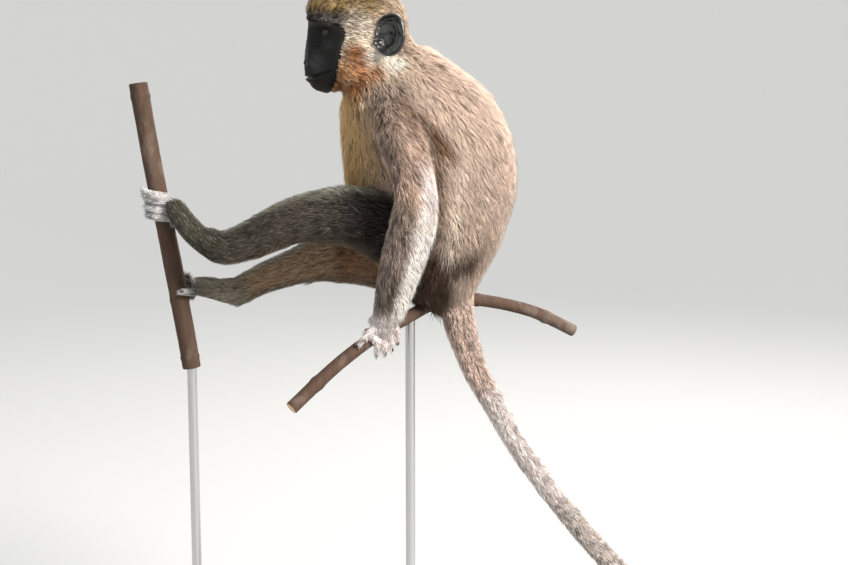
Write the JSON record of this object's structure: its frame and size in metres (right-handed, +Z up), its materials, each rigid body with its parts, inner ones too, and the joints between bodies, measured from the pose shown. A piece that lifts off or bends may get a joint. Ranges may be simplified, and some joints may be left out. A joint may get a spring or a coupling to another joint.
{
  "type": "vervet monkey on a perch",
  "caption": "Life-size still model of a vervet monkey sitting on a short branch with its feet against a leaning stem, held by a plain stand.",
  "frame": {"origin": "centre of the bounding box on the floor, in the plane of the underside of the stand's base", "axes": "+Z up, the monkey faces -X, its left side is at -Y and its tail runs to +X"},
  "size_m": [0.6879, 0.28, 0.8068],
  "materials": {
    "back_coat": "short grizzled fur, tan brown",
    "limb_coat": "short grizzled fur, grey",
    "crown_coat": "golden olive fur, black bare face",
    "bare_skin": "smooth bare black skin, slight sheen",
    "eye": "glossy wet eye",
    "bark": "thin reddish brown bark",
    "stand_paint": "wood board, satin black paint",
    "stand_steel": "brushed"
  },
  "bodies": {
    "root": {"head": "crown_coat", "ear_left": "bare_skin", "ear_right": "bare_skin", "eye_left": "eye", "eye_right": "eye", "neck": "back_coat", "trunk": "back_coat", "upper_arm_left": "limb_coat", "forearm_left": "limb_coat", "hand_left": "limb_coat", "upper_arm_right": "limb_coat", "forearm_right": "limb_coat", "hand_right": "limb_coat", "thigh_left": "limb_coat", "shank_left": "limb_coat", "foot_left": "limb_coat", "thigh_right": "limb_coat", "shank_right": "limb_coat", "foot_right": "limb_coat", "tail_root": "back_coat", "tail_upper": "back_coat", "tail_lower": "back_coat", "tail_tip": "back_coat", "perch_branch": "bark", "perch_stem": "bark", "stand_base": "stand_paint", "stand_rod_branch": "stand_steel", "stand_rod_stem": "stand_steel"}
  },
  "joints": []
}
